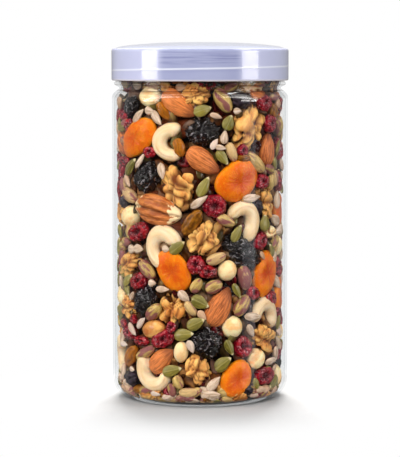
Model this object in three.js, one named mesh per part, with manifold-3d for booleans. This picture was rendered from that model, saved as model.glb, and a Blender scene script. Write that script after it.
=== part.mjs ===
// A tall clear plastic jar with a shut screw lid, full of mixed nuts, dried fruit and seeds.
// Millimetres, +Z up. The origin is the middle of the base, on the surface that the jar stands on,
// and the front of the jar faces -Y.
import * as THREE from 'three';
import { mergeVertices } from 'three/addons/utils/BufferGeometryUtils.js';
import Module from 'manifold-3d';

const wasm = await Module();
wasm.setup();

// The jar
const sides = 40; // flats round the jar and the lid
const jarRadius = 46;
const jarWall = 1;
const heelRadius = 10; // rounding between the base and the side
const ringInner = 30; // the flat ring that the jar stands on, which ends where the heel begins
const ringOuter = jarRadius - heelRadius;
const pushUp = 1.6; // the middle of the base is raised by this
const pushUpSlope = 5; // how far in from the ring it has risen by that much
const shoulderStart = 157.5;
const shoulderIn = 1.8; // the shoulder's rounded top, drawn in and up by these
const shoulderUp = 3.4;
const grooveRadius = 42.2;
const grooveHeight = 162.5;
const grooveFlat = 0.8; // height of the groove's narrowest stretch
const beadRadius = 45;
const beadHeight = 165.1;
const beadFlat = 1; // height of the bead's outermost stretch
const neckRadius = 43.4;
const neckTop = 181.9;

// The lid
const lidRadius = 46.3;
const lidWall = 1.3;
const lidBottom = 166.5;
const lidTop = 186.4;
const domeRadius = 41; // the top is nearly flat out to here
const domeDrop = 2.1;
const domePower = 2.6; // the drop grows by this power of the distance from the middle
const rimDrop = 1.2; // from the dome's border down to the rim around it
const lidEdge = 1.5; // rounding between the top and the side

// The screw thread, a low ridge on the neck and another inside the lid, half a turn apart in height
const threadPitch = 5;
const threadStart = 170.4; // where the neck's ridge begins, at the back
const threadHeight = 1;
const threadSink = 0.1; // how far past a wall's face the middle of its ridge lies

// The heap
const clearance = 0.35; // between the heap and the wall
const coreRadius = 40.4;
const coreBottom = 5;
const coreTop = 162;
const coreHeel = 5; // the core's edges are cut off by this
const coreSides = 12;
const seatDepth = 0.3; // a piece's middle stands out of the core by at least this share of its thickness
const deepest = 0.8; // a thick piece lies back from the wall by no more than this
const pressed = 0.3; // a piece is pressed against the wall, and flattened there, by this
const mirrorHeight = 83; // the back is the front turned over about this height
const backShortest = 14; // pieces shorter than this are left out at the back
const sideTries = 500; // pieces tried for the strips between front and back
const sideStrip = 30; // width of each strip, in degrees
const sideLowest = 11; // their heights start here
const sideRange = 147; // and spread over this much
const sideSpacing = 0.4; // least distance between two of them, as a share of their lengths
const fillSeeds = 8; // seeds in the gaps that are left
const seedTries = 3000;
const seedSpacing = 0.25;
const endRadius = 34; // pieces lie on the heap's top and bottom out to here
const topCount = 10;
const baseCount = 4;
const endRise = 0.2; // how far a top piece's middle lies above the core, as a share of its thickness
const mixSeed = 2024;
const goldenAngle = Math.PI * (3 - Math.sqrt(5));
const mergeWithin = 0.05; // corners closer than this become one when solids are joined

// Thickness of each kind, as a share of its width
const thickness = {
  apricot: 0.4,
  prune: 0.62,
  walnut: 0.62,
  pecan: 0.6,
  cashew: 0.42,
  almond: 0.62,
  hazelnut: 0.9,
  peanut: 0.85,
  cranberry: 0.66,
  raisin: 0.8,
  blueberry: 0.85,
  seed: 0.5,
};

// Where the larger pieces lie against the front of the wall. Each row holds degrees round from the
// front, the height of the middle, the length, the width, and the turn in degrees that lifts the right
// end. A cashew's turn is 0 where it opens downwards.
const front = {
  apricot: [
    [-52, 137.5, 31, 17, 28],
    [27, 115.5, 25, 19.5, 5],
    [-20, 70, 24, 18, -40],
    [56, 67.5, 25, 20, 60],
    [27.5, 14.3, 22, 17, 35],
  ],
  prune: [
    [2.5, 141, 20, 15, 0],
    [-44, 117.5, 20, 16, 40],
    [31, 80, 25, 14, -25],
    [-44.5, 54, 19, 15, 30],
    [5, 33.5, 20, 18, 0],
    [-60, 153.5, 15, 10, 20],
  ],
  walnut: [
    [-4, 159.5, 17, 12, 10],
    [38, 143, 27, 21, 40],
    [-17, 113.5, 20, 22, 80],
    [4, 87, 20, 17, 50],
    [-64, 72.5, 22, 13, 20],
    [58, 103.5, 19, 18, 0],
    [-66, 49, 17, 14, 0],
    [-20, 50.5, 18, 17, 70],
    [-2.5, 19.5, 16, 17, 60],
    [56, 33, 22, 17, -20],
  ],
  pecan: [
    [-34, 101.5, 31, 15, -8],
  ],
  cashew: [
    [-24, 135.5, 20, 19, 90],
    [-30, 83.5, 23, 20, 51],
    [32, 96.5, 22, 19, -45],
    [-37, 15.5, 24, 16, 154],
    [56, 47, 23, 17, -15],
  ],
  almond: [
    [-15.5, 155, 23, 12, -30],
    [2.5, 126, 22, 12, -30],
    [14.5, 52, 23, 14, 58],
    [-29, 23.8, 19, 11.5, 37],
    [60, 131.5, 18, 13, 75],
    [46, 160.5, 12, 7, 0],
  ],
  hazelnut: [
    [-40, 158.5, 15, 11, 0],
    [-64, 96.5, 15, 11.5, 5],
    [25, 41, 14, 12, 0],
    [20.7, 70.5, 12, 11, 20],
    [46, 23.5, 13, 11, 10],
    [-14, 28.5, 12, 8.5, 80],
    [62.5, 88.5, 11, 7, 0],
  ],
  peanut: [
    [-36.5, 39.5, 16.5, 9.5, 10],
  ],
  cranberry: [
    [53, 155.5, 14, 9, 0],
    [62, 144.5, 11, 10, 0],
    [-60, 143.5, 10, 7, 0],
    [51, 115, 12, 8, 10],
    [10, 103.3, 12, 12, 0],
    [-51, 89, 15, 10, 15],
    [49.5, 84.5, 14, 9, 20],
    [-3, 73.5, 11, 10, 0],
    [5.5, 70, 10.5, 7, 0],
    [-50.5, 63.7, 14, 9.5, 10],
    [63, 54, 14, 8, 0],
    [-63, 36, 15, 8, 0],
    [-27.5, 35, 14, 9, 20],
    [33, 30.8, 12, 12, 0],
    [54.5, 14.1, 16, 10, 0],
  ],
  raisin: [
    [-14.8, 133, 10, 7, -70],
    [-6, 95, 17, 9, 50],
    [-61.5, 23.5, 20, 9, 35],
    [68, 149.5, 12, 9, -50],
  ],
  blueberry: [
    [46, 102, 9, 9, 0],
    [-60, 12.5, 14, 9, 0],
    [31, 156.5, 12, 8, 0],
  ],
};

// Kinds that a random draw picks from, the commoner ones more often
const drawn = [
  'walnut',
  'almond',
  'cranberry',
  'hazelnut',
  'prune',
  'cashew',
  'cranberry',
  'apricot',
  'raisin',
];
const drawnSize = {
  walnut: [20, 17],
  almond: [22, 12],
  cranberry: [13, 10],
  hazelnut: [13, 11],
  prune: [19, 15],
  cashew: [22, 19],
  apricot: [23, 18],
  raisin: [14, 9],
};

// Even random numbers from a seed, so that every build gives the same mix
function randomFrom(seed) {
  let state = seed;
  return () => {
    state = (state * 16807) % 2147483647;
    return state / 2147483647;
  };
}

// Points of a quarter or other arc, the first and the last included
function arc(centreX, centreY, radius, from, to, steps) {
  const points = [];
  for (let i = 0; i <= steps; i += 1) {
    const angle = THREE.MathUtils.degToRad(from + ((to - from) * i) / steps);
    points.push(new THREE.Vector2(centreX + radius * Math.cos(angle), centreY + radius * Math.sin(angle)));
  }
  return points;
}

// A closed mesh as a solid that can be joined and cut
function solid(geometry) {
  const bare = geometry.clone();
  bare.deleteAttribute('normal');
  bare.deleteAttribute('uv');
  const merged = mergeVertices(bare, 1e-4);
  const corners = [];
  const index = merged.index.array;
  for (let i = 0; i < index.length; i += 3) {
    const [a, b, c] = index.slice(i, i + 3);
    if (a !== b && b !== c && c !== a) corners.push(a, b, c);
  }
  return new wasm.Manifold(new wasm.Mesh({
    numProp: 3,
    tolerance: mergeWithin,
    vertProperties: Float32Array.from(merged.attributes.position.array),
    triVerts: Uint32Array.from(corners),
  }));
}

// A profile of Vector2 points (distance from the axis, height) turned round the Z axis
function turned(profile, flats = sides) {
  return new THREE.LatheGeometry(profile, flats).rotateX(Math.PI / 2);
}

// The inside of the jar from the neck down to the middle of the floor, drawn in by a gap
function insideOutline(gap) {
  const inset = jarWall + gap;
  return [
    new THREE.Vector2(neckRadius - inset, beadHeight),
    new THREE.Vector2(grooveRadius - inset, grooveHeight + grooveFlat / 2),
    new THREE.Vector2(grooveRadius - inset, grooveHeight - grooveFlat - gap),
    new THREE.Vector2(jarRadius - shoulderIn - inset, shoulderStart + shoulderUp - inset),
    new THREE.Vector2(jarRadius - inset, shoulderStart - inset),
    ...arc(ringOuter, heelRadius, heelRadius - inset, 0, -90, 3),
    new THREE.Vector2(ringInner, inset),
    new THREE.Vector2(ringInner - pushUpSlope, inset + pushUp),
    new THREE.Vector2(0, inset + pushUp),
  ];
}

// The low ridge of a screw thread as a path round the Z axis
class ThreadLine extends THREE.Curve {
  constructor(radius, start) {
    super();
    this.radius = radius;
    this.start = start;
  }

  getPoint(t, target = new THREE.Vector3()) {
    const angle = Math.PI / 2 + t * 2 * Math.PI;
    const x = this.radius * Math.cos(angle);
    const y = this.radius * Math.sin(angle);
    return target.set(x, y, this.start + t * threadPitch);
  }
}

// A thread ridge of one turn: four-sided, sunk to its middle in the wall that carries it
function threadRidge(radius, start) {
  const section = new THREE.Shape(arc(0, 0, threadHeight, 0, 270, 3)); // a square on its corner
  const line = new ThreadLine(radius, start);
  return new THREE.ExtrudeGeometry(section, { steps: sides, extrudePath: line, bevelEnabled: false });
}

// The jar as a shell: its outside from the base up to the neck's rim, then its inside back down
function jarShell() {
  return turned([
    new THREE.Vector2(0, pushUp),
    new THREE.Vector2(ringInner - pushUpSlope, pushUp),
    new THREE.Vector2(ringInner, 0),
    ...arc(ringOuter, heelRadius, heelRadius, -90, 0, 3),
    new THREE.Vector2(jarRadius, shoulderStart),
    new THREE.Vector2(jarRadius - shoulderIn, shoulderStart + shoulderUp),
    new THREE.Vector2(grooveRadius, grooveHeight - grooveFlat / 2),
    new THREE.Vector2(grooveRadius, grooveHeight + grooveFlat / 2),
    new THREE.Vector2(beadRadius, beadHeight - beadFlat / 2),
    new THREE.Vector2(beadRadius, beadHeight + beadFlat / 2),
    new THREE.Vector2(neckRadius, beadHeight + 1.5 * beadFlat),
    new THREE.Vector2(neckRadius, neckTop),
    new THREE.Vector2(neckRadius - jarWall, neckTop),
    ...insideOutline(0),
  ]);
}

// The jar with the thread on its neck. The ridge's inner half stays inside the neck's wall.
function jarGeometry() {
  const ridge = solid(threadRidge(neckRadius + threadSink, threadStart));
  const cutter = solid(turned([
    new THREE.Vector2(0, lidBottom),
    new THREE.Vector2(neckRadius - jarWall / 2, lidBottom),
    new THREE.Vector2(neckRadius - jarWall / 2, neckTop),
    new THREE.Vector2(0, neckTop),
  ]));
  return geometryOf(solid(jarShell()).add(ridge.subtract(cutter)));
}

// The lid's top falls away slowly from the middle, by a power of the distance
function domeHeight(radius, top) {
  return top - domeDrop * (radius / domeRadius) ** domePower;
}

// The lid as a shell: the underside of its top, down inside its skirt, and up round its outside
function lidShell() {
  const rim = lidRadius - lidEdge;
  const outerTop = [18, 32, domeRadius].map(
    (radius) => new THREE.Vector2(radius, domeHeight(radius, lidTop)),
  );
  const innerTop = [24, domeRadius].map(
    (radius) => new THREE.Vector2(radius, domeHeight(radius, lidTop - lidWall)),
  );
  const edge = arc(rim, lidTop - domeDrop - rimDrop - lidEdge, lidEdge, 0, 90, 3);
  const inside = lidRadius - lidWall;
  return turned([
    new THREE.Vector2(0, lidTop - lidWall),
    ...innerTop,
    new THREE.Vector2(inside, edge.at(-1).y - lidWall),
    new THREE.Vector2(inside, lidBottom),
    new THREE.Vector2(lidRadius, lidBottom),
    ...edge,
    ...outerTop.reverse(),
    new THREE.Vector2(0, lidTop),
  ]);
}

// The lid with the thread inside its skirt, half a pitch below the neck's
function lidGeometry() {
  const inside = lidRadius - lidWall;
  const ridge = solid(threadRidge(inside - threadSink, threadStart - threadPitch / 2));
  const keep = solid(turned([
    new THREE.Vector2(0, lidBottom),
    new THREE.Vector2(inside + lidWall / 2, lidBottom),
    new THREE.Vector2(inside + lidWall / 2, neckTop),
    new THREE.Vector2(0, neckTop),
  ]));
  return geometryOf(solid(lidShell()).add(ridge.intersect(keep)));
}

// Moves every vertex of a geometry by a formula that changes the point it is given
function reshaped(geometry, formula) {
  const place = geometry.attributes.position;
  const point = new THREE.Vector3();
  for (let i = 0; i < place.count; i += 1) {
    point.fromBufferAttribute(place, i);
    formula(point);
    place.setXYZ(i, point.x, point.y, point.z);
  }
  return geometry;
}

// A ball of radius 1 with its poles at the two ends of its length
function longBall(around, along) {
  return new THREE.SphereGeometry(1, around, along).rotateZ(Math.PI / 2);
}

// The forms below fill a box from -1 to 1. X is the length, Y the width, and +Z faces the wall.
const forms = {
  // A flat disc with a raised rim and a hollow middle
  apricot: () => reshaped(new THREE.SphereGeometry(1, 8, 4).rotateX(Math.PI / 2), (p) => {
    const reach = Math.hypot(p.x, p.y);
    if (reach < 0.3 && p.z > 0) p.z = 0.7;
  }),
  // A lumpy ball
  prune: () => reshaped(longBall(7, 4), (p) => {
    p.multiplyScalar(0.92 + 0.1 * Math.sin(5 * p.x + 3 * p.y) * Math.cos(4 * p.z + p.y));
  }),
  // Two lobes with a groove between them, and lumps along each
  walnut: () => reshaped(longBall(7, 5), (p) => {
    const groove = 0.3 * Math.exp(-((p.y / 0.3) ** 2));
    p.multiplyScalar(1 - groove + 0.12 * Math.cos(7 * p.x + 2) * Math.cos(4 * p.z));
  }),
  // A long half kernel with a groove along it
  pecan: () => reshaped(longBall(8, 4), (p) => {
    if (Math.abs(p.y) < 0.3 && p.z > 0) p.z *= 0.6;
  }),
  // A fat C: its length runs along an arc that opens downwards
  cashew: () => reshaped(longBall(5, 6), (p) => {
    const fat = 0.42 * Math.max(1 - p.x ** 4, 0.35);
    const around = Math.hypot(p.y, p.z) || 1;
    const bend = p.x * 1.85;
    const end = Math.abs(p.x) > 0.99 ? 0 : 1;
    const out = 0.6 + (end * fat * p.y) / around;
    const rise = (end * p.z) / around;
    p.set(out * Math.sin(bend), out * Math.cos(bend) - 0.1, rise);
  }),
  // A drop, pointed at the right end
  almond: () => reshaped(longBall(6, 4), (p) => {
    const taper = 1 - 0.3 * p.x;
    p.y *= taper / 1.1;
    p.z *= taper / 1.1;
  }),
  hazelnut: () => longBall(6, 3),
  peanut: () => longBall(6, 3),
  // A small ring with its middle pushed in
  cranberry: () => reshaped(new THREE.SphereGeometry(1, 6, 3).rotateX(Math.PI / 2), (p) => {
    if (p.z > 0.95) p.z = 0.45;
  }),
  raisin: () => longBall(5, 3),
  blueberry: () => longBall(5, 3),
  seed: () => longBall(4, 2),
};

// A form at its real size
function piece(kind, length, width) {
  const thick = thickness[kind] * width;
  const geometry = forms[kind]().scale(length / 2, width / 2, thick / 2);
  return { geometry, thick };
}

// Lays a piece against the wall: its X and Y run round and up the wall, and its Z points outwards
function onWall(kind, [angle, height, length, width, turn]) {
  const { geometry, thick } = piece(kind, length, width);
  geometry.rotateZ(THREE.MathUtils.degToRad(turn));
  const inner = jarRadius - jarWall - clearance;
  const seated = coreRadius + seatDepth * thick;
  const middle = Math.min(inner - thick / 2 + pressed, Math.max(seated, inner - thick / 2 - deepest));
  const reach = kind === 'seed' ? seated : middle;
  return solid(reshaped(geometry, (p) => {
    const around = THREE.MathUtils.degToRad(angle) + p.x / inner;
    const out = Math.min(reach + p.z, inner - pressed / 2);
    p.set(out * Math.sin(around), -out * Math.cos(around), height + p.y);
  }));
}

// Lays a piece flat on the heap's top, or against the floor
function onEnd(kind, x, y, turn, top) {
  const [length, width] = drawnSize[kind];
  const { geometry, thick } = piece(kind, length, width);
  geometry.rotateZ(turn);
  if (!top) geometry.rotateX(Math.PI);
  const height = top ? coreTop + thick * endRise : jarWall + clearance + pushUp + thick / 2;
  return solid(geometry.translate(x, y, height));
}

// The same pieces for the back of the jar: turned over end for end, with small random changes
function backOf(rows, random) {
  return rows.map(([angle, height, length, width, turn]) => [
    180 - angle + 3 * (random() - 0.5),
    2 * mirrorHeight - height + 3 * (random() - 0.5),
    length * (0.94 + 0.12 * random()),
    width * (0.94 + 0.12 * random()),
    180 - turn + 30 * (random() - 0.5),
  ]);
}

// Distance between two places on the unrolled wall
function apart(a, b) {
  const round = Math.abs(((a[0] - b[0] + 540) % 360) - 180);
  return Math.hypot(THREE.MathUtils.degToRad(round) * jarRadius, a[1] - b[1]);
}

// Fills the strips at the two sides, between front and back, with pieces that keep off the others
function sidePieces(taken, random) {
  const found = [];
  for (let i = 0; i < sideTries; i += 1) {
    const kind = drawn[Math.floor(random() * drawn.length)];
    const [length, width] = drawnSize[kind];
    const side = random() < 0.5 ? -90 : 90;
    const angle = side + sideStrip * (random() - 0.5);
    const row = [angle, sideLowest + sideRange * random(), length, width, 360 * random()];
    const room = taken.every((other) => apart(other, row) > sideSpacing * (length + other[2]));
    if (room) {
      taken.push(row);
      found.push([kind, row]);
    }
  }
  return found;
}

// Seeds in the gaps that are left, all round
function seedPieces(taken, random) {
  const found = [];
  for (let i = 0; i < seedTries && found.length < fillSeeds; i += 1) {
    const row = [360 * random(), sideLowest + sideRange * random(), 10 + 3 * random(), 6, 360 * random()];
    const room = taken.every((other) => apart(other, row) > seedSpacing * (row[2] + other[2] + other[3]));
    if (room) {
      taken.push(row);
      found.push(['seed', row]);
    }
  }
  return found;
}

// Pieces on a round end of the heap, evenly spread by the golden angle
function endPieces(count, top, random) {
  const found = [];
  for (let i = 0; i < count; i += 1) {
    const kind = drawn[Math.floor(random() * drawn.length)];
    const angle = i * goldenAngle;
    const out = endRadius * Math.sqrt((i + 0.5) / count);
    const turn = 2 * Math.PI * random();
    found.push(onEnd(kind, out * Math.cos(angle), out * Math.sin(angle), turn, top));
  }
  return found;
}

// The space inside the jar, clear of its wall by the clearance, up to the lid's bottom edge
function cavity() {
  const outline = insideOutline(clearance).reverse();
  const mouth = outline.at(-1).x;
  return solid(turned([
    ...outline,
    new THREE.Vector2(mouth, lidBottom + clearance),
    new THREE.Vector2(0, lidBottom + clearance),
  ]));
}

// The heap's core, which the pieces stand out of
function core() {
  return solid(turned([
    new THREE.Vector2(0, coreBottom),
    new THREE.Vector2(coreRadius - coreHeel, coreBottom),
    new THREE.Vector2(coreRadius, coreBottom + coreHeel),
    new THREE.Vector2(coreRadius, coreTop - coreHeel),
    new THREE.Vector2(coreRadius - coreHeel, coreTop),
    new THREE.Vector2(0, coreTop),
  ], coreSides));
}

// Everything in the jar as one solid: the core with the pieces that show joined on
function heapGeometry() {
  const random = randomFrom(mixSeed);
  const rows = [];
  for (const [kind, places] of Object.entries(front)) {
    const back = backOf(places, random).filter(([, , length]) => length > backShortest);
    for (const row of [...places, ...back]) rows.push([kind, row]);
  }
  const taken = rows.map(([, row]) => row);
  rows.push(...sidePieces(taken, random), ...seedPieces(taken, random));
  const pieces = rows.map(([kind, row]) => onWall(kind, row));
  pieces.push(...endPieces(topCount, true, random), ...endPieces(baseCount, false, random));
  const heap = pieces.reduce((whole, next) => whole.add(next), core());
  return geometryOf(heap.intersect(cavity()));
}

// A solid back as triangles. Only its largest shell is kept, which fills any hollow that joining
// sealed and drops any loose scrap.
function geometryOf(body) {
  const { vertProperties, triVerts, numProp } = body.getMesh();
  const position = new Float32Array((vertProperties.length / numProp) * 3);
  for (let i = 0; i < position.length; i += 1) {
    position[i] = vertProperties[Math.floor(i / 3) * numProp + (i % 3)];
  }
  const geometry = new THREE.BufferGeometry();
  geometry.setAttribute('position', new THREE.BufferAttribute(position, 3));
  geometry.setIndex([...largestShell(triVerts, position.length / 3)]);
  geometry.computeVertexNormals();
  return geometry;
}

// The triangles of the connected shell that has the most of them
function largestShell(corners, count) {
  const parent = Array.from({ length: count }, (_, i) => i);
  const find = (start) => {
    let at = start;
    while (parent[at] !== at) {
      parent[at] = parent[parent[at]];
      at = parent[at];
    }
    return at;
  };
  for (let i = 0; i < corners.length; i += 3) {
    parent[find(corners[i + 1])] = find(corners[i]);
    parent[find(corners[i + 2])] = find(corners[i]);
  }
  const tally = new Map();
  for (const corner of corners) tally.set(find(corner), (tally.get(find(corner)) ?? 0) + 1);
  const [best] = [...tally].sort((a, b) => b[1] - a[1])[0];
  return corners.filter((_, i) => find(corners[i - (i % 3)]) === best);
}

function named(name, geometry, look) {
  const mesh = new THREE.Mesh(geometry, new THREE.MeshStandardMaterial(look));
  mesh.name = name;
  return mesh;
}

const clearPlastic = {
  color: 0xe9edf0,
  roughness: 0.06,
  metalness: 0,
  transparent: true,
  opacity: 0.2,
};
const lavenderPlastic = {
  color: 0xc9cde6,
  roughness: 0.25,
  metalness: 0,
  transparent: true,
  opacity: 0.75,
};
const mixedNuts = {
  color: 0x9a6234,
  roughness: 0.6,
  metalness: 0,
};

const filledJar = new THREE.Group();
filledJar.add(named('jar', jarGeometry(), clearPlastic));
filledJar.add(named('lid', lidGeometry(), lavenderPlastic));
filledJar.add(named('nut_mix', heapGeometry(), mixedNuts));

export default filledJar;
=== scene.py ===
import bpy
import numpy as np
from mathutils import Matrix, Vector


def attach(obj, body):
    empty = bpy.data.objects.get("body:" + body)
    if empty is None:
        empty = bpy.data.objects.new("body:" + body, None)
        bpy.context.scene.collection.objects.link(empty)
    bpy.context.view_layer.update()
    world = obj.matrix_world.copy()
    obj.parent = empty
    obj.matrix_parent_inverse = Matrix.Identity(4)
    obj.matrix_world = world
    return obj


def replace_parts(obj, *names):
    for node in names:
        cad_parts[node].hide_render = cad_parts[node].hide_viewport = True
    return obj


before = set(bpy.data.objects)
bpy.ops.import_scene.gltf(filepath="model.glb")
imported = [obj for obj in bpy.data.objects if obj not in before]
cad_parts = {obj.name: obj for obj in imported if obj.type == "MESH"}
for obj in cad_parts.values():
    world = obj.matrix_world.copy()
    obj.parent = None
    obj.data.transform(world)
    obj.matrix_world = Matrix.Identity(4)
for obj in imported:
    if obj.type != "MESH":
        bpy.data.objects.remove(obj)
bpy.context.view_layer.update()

# A clear jar with a shut lavender lid, full of mixed nuts, dried fruit and seeds.
# The frame is in metres. Sizes in the dictionaries are millimetres, and angles are degrees.
mm = 0.001


# ---- camera, floor and light ----
studio = {
    "cameraDistance": 1073, "cameraHeight": 181.2, "aimHeight": 88.6, "lens": 161,
    "floorSize": 3000, "floorColour": (0.42, 0.43, 0.445), "floorGlow": 0.2,
    "shadowFrom": 42, "shadowTo": 125,  # the floor fades from lit paper to plain white between these
    "seenWorld": 1.0, "mirroredWorld": 0.02, "mirroredBehind": 0.28, "mirroredStrip": 0.34,
    "behindEdge": (0.1, 0.6), "stripEdge": (0.15, 0.35), "stripFoot": (0.0, 0.04),
    "lightWorld": 0.1, "boxColour": (1, 0.97, 0.93), "veilColour": (0.9, 0.93, 1), "boxAim": 90,
    # name: azimuth from the front, distance, height of the middle, width, height, power in watts
    "boxes": {
        "leftBox": (-67, 1200, 315, 520, 330, 4.4),
        "rightBox": (67, 1200, 315, 520, 330, 4.4),
        "leftHighBox": (-69, 520, 760, 300, 640, 2.4),
        "rightHighBox": (69, 520, 760, 300, 640, 2.4),
        "veilBox": (67, 1200, -60, 420, 360, 0.35),
        "topBox": (-12, 1100, 700, 900, 500, 16.5),
        "backBox": (180, 520, 1000, 400, 300, 28),
    },
    "upright": ("leftBox", "rightBox", "veilBox"), "notMirrored": ("topBox", "backBox"),
}


def placeCamera():
    camera = bpy.data.cameras.new("camera")
    camera.sensor_width = 36
    camera.lens = studio["lens"]
    spot = bpy.data.objects.new("camera", camera)
    spot.location = (0, -studio["cameraDistance"] * mm, studio["cameraHeight"] * mm)
    look = Vector((0, 0, studio["aimHeight"] * mm)) - spot.location
    spot.rotation_euler = look.to_track_quat("-Z", "Y").to_euler()
    bpy.context.collection.objects.link(spot)
    bpy.context.scene.camera = spot


# ---- shader nodes as arithmetic ----
class Wire:
    # Wraps a node's output. An operator on it adds a Math node and wraps that node's output.
    def __init__(self, finish, socket):
        self.finish = finish
        self.socket = socket

    def maths(self, operation, *values):
        return self.finish.node("Math", {"operation": operation}, dict(enumerate(values)))

    def __add__(self, other):
        return self.maths("ADD", self, other)

    __radd__ = __add__

    def __sub__(self, other):
        return self.maths("SUBTRACT", self, other)

    def __rsub__(self, other):
        return self.maths("SUBTRACT", other, self)

    def __mul__(self, other):
        return self.maths("MULTIPLY", self, other)

    __rmul__ = __mul__

    def __truediv__(self, other):
        return self.maths("DIVIDE", self, other)

    def __pow__(self, other):
        return self.maths("POWER", self, other)

    def size(self):
        return self.maths("ABSOLUTE", self)

    def bell(self):
        # e^-(x^2), which is 1 where x is 0
        return self.maths("EXPONENT", -1.0 * self ** 2.0)

    def clamped(self):
        made = self.maths("ADD", self, 0.0)
        made.socket.node.use_clamp = True
        return made


class Finish:
    # One material. node() adds any node: its type, its settings, then values or wires for its inputs.
    def __init__(self, name, world=None):
        self.owner = world or bpy.data.materials.new(name)
        self.owner.use_nodes = True
        self.tree = self.owner.node_tree
        self.tree.nodes.clear()

    def node(self, kind, settings=None, inputs=None, output=0):
        made = self.tree.nodes.new("ShaderNode" + kind)
        for key, value in (settings or {}).items():
            setattr(made, key, value)
        for key, value in (inputs or {}).items():
            if isinstance(value, Wire):
                self.tree.links.new(value.socket, made.inputs[key])
            else:
                made.inputs[key].default_value = value
        return Wire(self, made.outputs[output]) if made.outputs else made

    def part(self, vector, axis):
        return self.node("SeparateXYZ", {}, {0: vector}, axis)

    def own(self, name, output="Fac"):
        # What layPieces stored on each point of a piece: skin, unit, crease, tint, shade or depth
        return self.node("Attribute", {"attribute_name": name}, output=output)

    def mix(self, share, first, second, blend="MIX"):
        first, second = [v if isinstance(v, Wire) else (*v, 1) for v in (first, second)]
        inputs = {0: share, 6: first, 7: second}
        return self.node("Mix", {"data_type": "RGBA", "blend_type": blend}, inputs, 2)

    def coats(self, base, rows, masks):
        # A base colour under its coats. A coat's share is its mask, stepped between two values where
        # the row has them, times a strength.
        colour = srgb(*base)
        for name, strength, coat, *steps in rows:
            share = self.step(masks[name], *steps) if steps else masks[name]
            colour = self.mix(share * strength, colour, srgb(*coat))
        return colour

    def noise(self, places, scale, detail=2.0, rough=0.5, stretch=None):
        if stretch:
            places = self.node("Mapping", {}, {"Vector": places, "Scale": stretch})
        inputs = {"Vector": places, "Scale": scale, "Detail": detail, "Roughness": rough}
        return self.node("TexNoise", {}, inputs)

    def grain(self, scale, *more):
        # Noise on a piece's own millimetres, with so many waves to the metre
        return self.noise(self.own("skin", "Vector"), scale * mm, *more)

    def step(self, value, low, high):
        return self.node("MapRange", {"interpolation_type": "SMOOTHSTEP"}, {0: value, 1: low, 2: high})

    def bump(self, height, distance, strength=1.0):
        inputs = {"Height": height, "Distance": distance * mm, "Strength": strength}
        return self.node("Bump", {}, inputs)

    def end(self, surface):
        self.node("OutputMaterial", {}, {"Surface": surface})
        return self.owner


def srgb(red, green, blue):
    # A colour as read off a picture, 0 to 255, made linear
    shares = (red, green, blue)
    return tuple(((c / 255 + 0.055) / 1.055) ** 2.4 if c > 10 else c / 3294.6 for c in shares)


def lightRoom():
    # What the camera sees straight is white, what the plastic mirrors is dim, the rest lights the jar
    world = bpy.data.worlds.new("room")
    bpy.context.scene.world = world
    paint = Finish("room", world)
    towards = paint.node("TexCoord", output="Generated")
    aside = paint.part(towards, "X")
    behind = paint.step(paint.part(towards, "Y"), *studio["behindEdge"])
    strip = 1 - paint.step(aside.size(), *studio["stripEdge"])  # the lid's dome mirrors it
    strip = strip * paint.step(paint.part(towards, "Z"), *studio["stripFoot"])
    back = studio["mirroredBehind"] + studio["mirroredStrip"] * strip

    def light(strength):
        return paint.node("Background", {}, {"Color": (1, 1, 1, 1), "Strength": strength})

    straight = paint.node("LightPath", output="Is Camera Ray")
    mirrored = paint.node("LightPath", output="Is Glossy Ray")
    dim, fill = light(studio["mirroredWorld"] + behind * back), light(studio["lightWorld"])
    other = paint.node("MixShader", {}, {0: mirrored, 1: fill, 2: dim})
    seen = paint.node("MixShader", {}, {0: straight, 1: other, 2: light(studio["seenWorld"])})
    paint.node("OutputWorld", {}, {"Surface": seen})
    for name, (azimuth, distance, height, width, tall, power) in studio["boxes"].items():
        lamp = bpy.data.lights.new(name, "AREA")
        lamp.shape = "RECTANGLE"
        lamp.size, lamp.size_y = width * mm, tall * mm
        lamp.energy = power
        lamp.color = studio["veilColour"] if name == "veilBox" else studio["boxColour"]
        box = bpy.data.objects.new(name, lamp)
        around = np.radians(azimuth)
        box.location = (distance * mm * np.sin(around), -distance * mm * np.cos(around), height * mm)
        aim = Vector((0, 0, studio["boxAim"] * mm)) - box.location
        box.visible_glossy = name not in studio["notMirrored"]
        if name in studio["upright"]:
            aim.z = 0
        box.rotation_euler = aim.to_track_quat("-Z", "Y").to_euler()
        bpy.context.collection.objects.link(box)


def layFloor():
    half = studio["floorSize"] * mm / 2
    corners = [(-half, -half, 0), (half, -half, 0), (half, half, 0), (-half, half, 0)]
    mesh = bpy.data.meshes.new("floor")
    mesh.from_pydata(corners, [], [(0, 1, 2, 3)])
    floor = bpy.data.objects.new("floor", mesh)
    bpy.context.collection.objects.link(floor)
    paint = Finish("paleFloor")
    places = paint.node("TexCoord", output="Object")
    fleck = paint.noise(places, 900)
    colour = paint.mix(fleck, studio["floorColour"], [c * 0.99 for c in studio["floorColour"]])
    paper = paint.node("BsdfDiffuse", {}, {"Color": colour})
    seen = paint.node("LightPath", output="Is Camera Ray")
    glow = studio["floorGlow"] + (1 - studio["floorGlow"]) * seen
    white = paint.node("Emission", {}, {"Strength": glow})
    away = paint.node("VectorMath", {"operation": "LENGTH"}, {0: places}, "Value")
    share = paint.step(away, studio["shadowFrom"] * mm, studio["shadowTo"] * mm)
    mesh.materials.append(paint.end(paint.node("MixShader", {}, {0: share, 1: paper, 2: white})))
    floor.visible_glossy = False


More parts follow.
